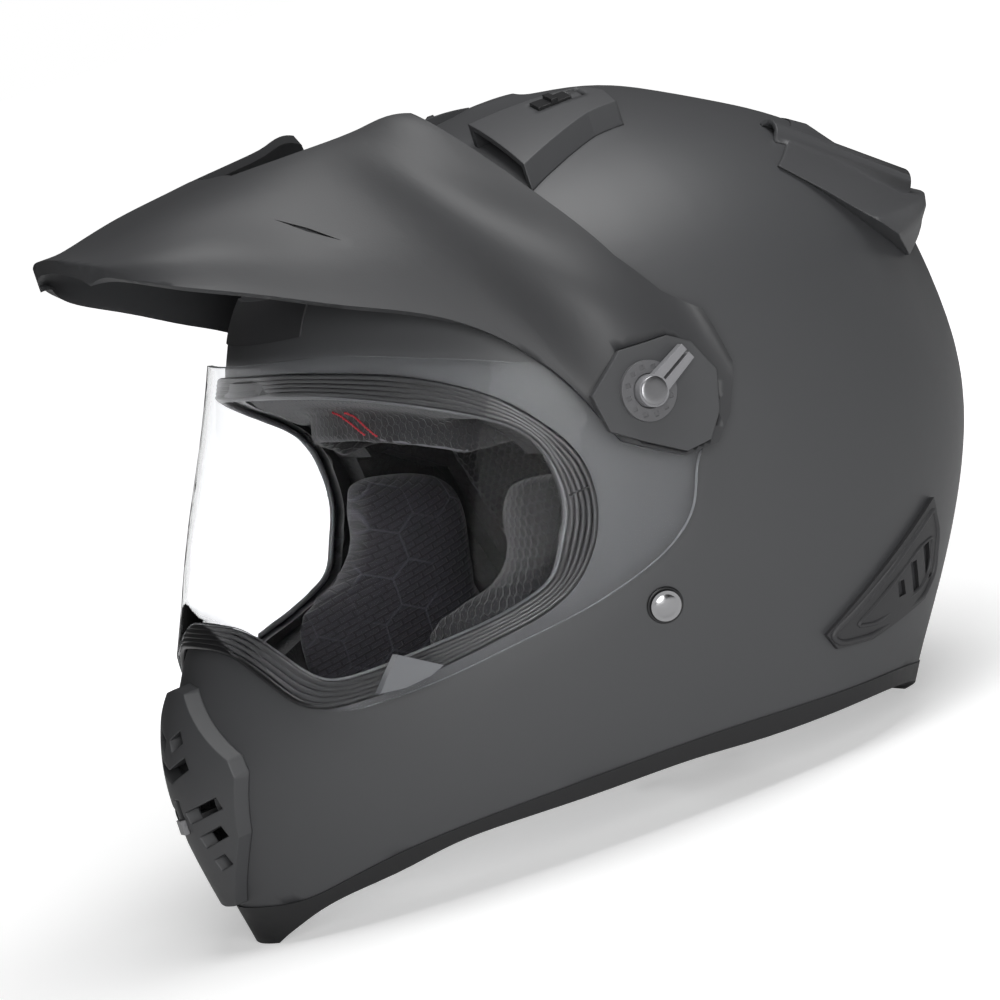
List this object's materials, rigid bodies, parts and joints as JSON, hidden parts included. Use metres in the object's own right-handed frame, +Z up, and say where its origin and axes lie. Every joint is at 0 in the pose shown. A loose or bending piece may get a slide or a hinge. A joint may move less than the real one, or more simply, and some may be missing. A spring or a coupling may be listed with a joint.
{
  "type": "dual sport helmet",
  "caption": "Full face dual sport helmet with a tilting peak, clear lift-up shield, chin and top vents, rear spoiler and padded liner.",
  "frame": {"origin": "on the plane the helmet stands on, below the middle of the head, in the plane of symmetry", "axes": "+Z up, -Y the way the rider faces, +X the rider's left, helmet standing on its base with the shield closed"},
  "size_m": [0.292, 0.3753, 0.2902],
  "materials": {
    "shell": "matte charcoal clear coat over moulded fibre",
    "trim": "soft black edge moulding",
    "seal": "ribbed black rubber",
    "foam": "black expanded foam",
    "comfort": "dark open mesh cloth over foam",
    "clear": "clear injection moulded sheet",
    "tab": "silver grey",
    "black": "black satin plastic",
    "peak": "matte charcoal over moulded plastic, black underneath",
    "steel": "satin",
    "rivet": "polished",
    "webbing": "woven black strap"
  },
  "bodies": {
    "helmet": {"outer_shell": "shell", "base_trim": "trim", "eyeport_seal": "seal", "impact_liner": "foam", "chin_foam": "foam", "cheek_foam_left": "foam", "cheek_foam_right": "foam", "crown_pad": "comfort", "brow_pad": "comfort", "cheek_pad_left": "comfort", "cheek_pad_right": "comfort", "neck_roll": "comfort", "shield_hub_left": "black", "shield_hub_right": "black", "pivot_pin_left": "steel", "pivot_pin_right": "steel", "top_vent_left": "peak", "top_vent_right": "peak", "rear_spoiler": "shell", "rear_side_vent_left": "black", "rear_side_vent_right": "black", "brow_plate": "black", "chin_mouthpiece": "shell", "chin_filter": "black", "strap_left": "webbing", "strap_right": "webbing", "strap_rings": "steel", "strap_rivets": "rivet"},
    "peak_assembly": {"peak": "peak", "peak_cover_left": "peak", "peak_cover_right": "peak", "dial_ring_left": "black", "dial_ring_right": "black"},
    "shield_assembly": {"clear_shield": "clear", "shield_tab": "tab"},
    "lever_left": {"release_lever_left": "black"},
    "lever_right": {"release_lever_right": "black"},
    "vent_switch_left": {"top_vent_switch_left": "black"},
    "vent_switch_right": {"top_vent_switch_right": "black"},
    "chin_vent_slide": {"chin_shutter": "black", "chin_slider": "tab"}
  },
  "joints": [
    {"name": "peak_tilt", "type": "hinge", "parent": "helmet", "child": "peak_assembly", "pos_m": [0, -0.045, 0.1671], "axis": [1, 0, 0], "range_deg": [-3, 2]},
    {"name": "shield_lift", "type": "hinge", "parent": "helmet", "child": "shield_assembly", "pos_m": [0, -0.036, 0.176], "axis": [-1, 0, 0], "range_deg": [0, 10]},
    {"name": "release_lever_left_turn", "type": "hinge", "parent": "peak_assembly", "child": "lever_left", "pos_m": [0.1428, -0.045, 0.1671], "axis": [1, 0, 0], "range_deg": [0, 90]},
    {"name": "release_lever_right_turn", "type": "hinge", "parent": "peak_assembly", "child": "lever_right", "pos_m": [-0.1428, -0.045, 0.1671], "axis": [1, 0, 0], "range_deg": [0, 90]},
    {"name": "top_vent_left_slide", "type": "slide", "parent": "helmet", "child": "vent_switch_left", "axis": [0, 1, 0], "range_m": [0, 0.006]},
    {"name": "top_vent_right_slide", "type": "slide", "parent": "helmet", "child": "vent_switch_right", "axis": [0, 1, 0], "range_m": [0, 0.006]},
    {"name": "chin_vent_slide", "type": "slide", "parent": "helmet", "child": "chin_vent_slide", "axis": [0, 0, 1], "range_m": [0, 0.008]}
  ]
}
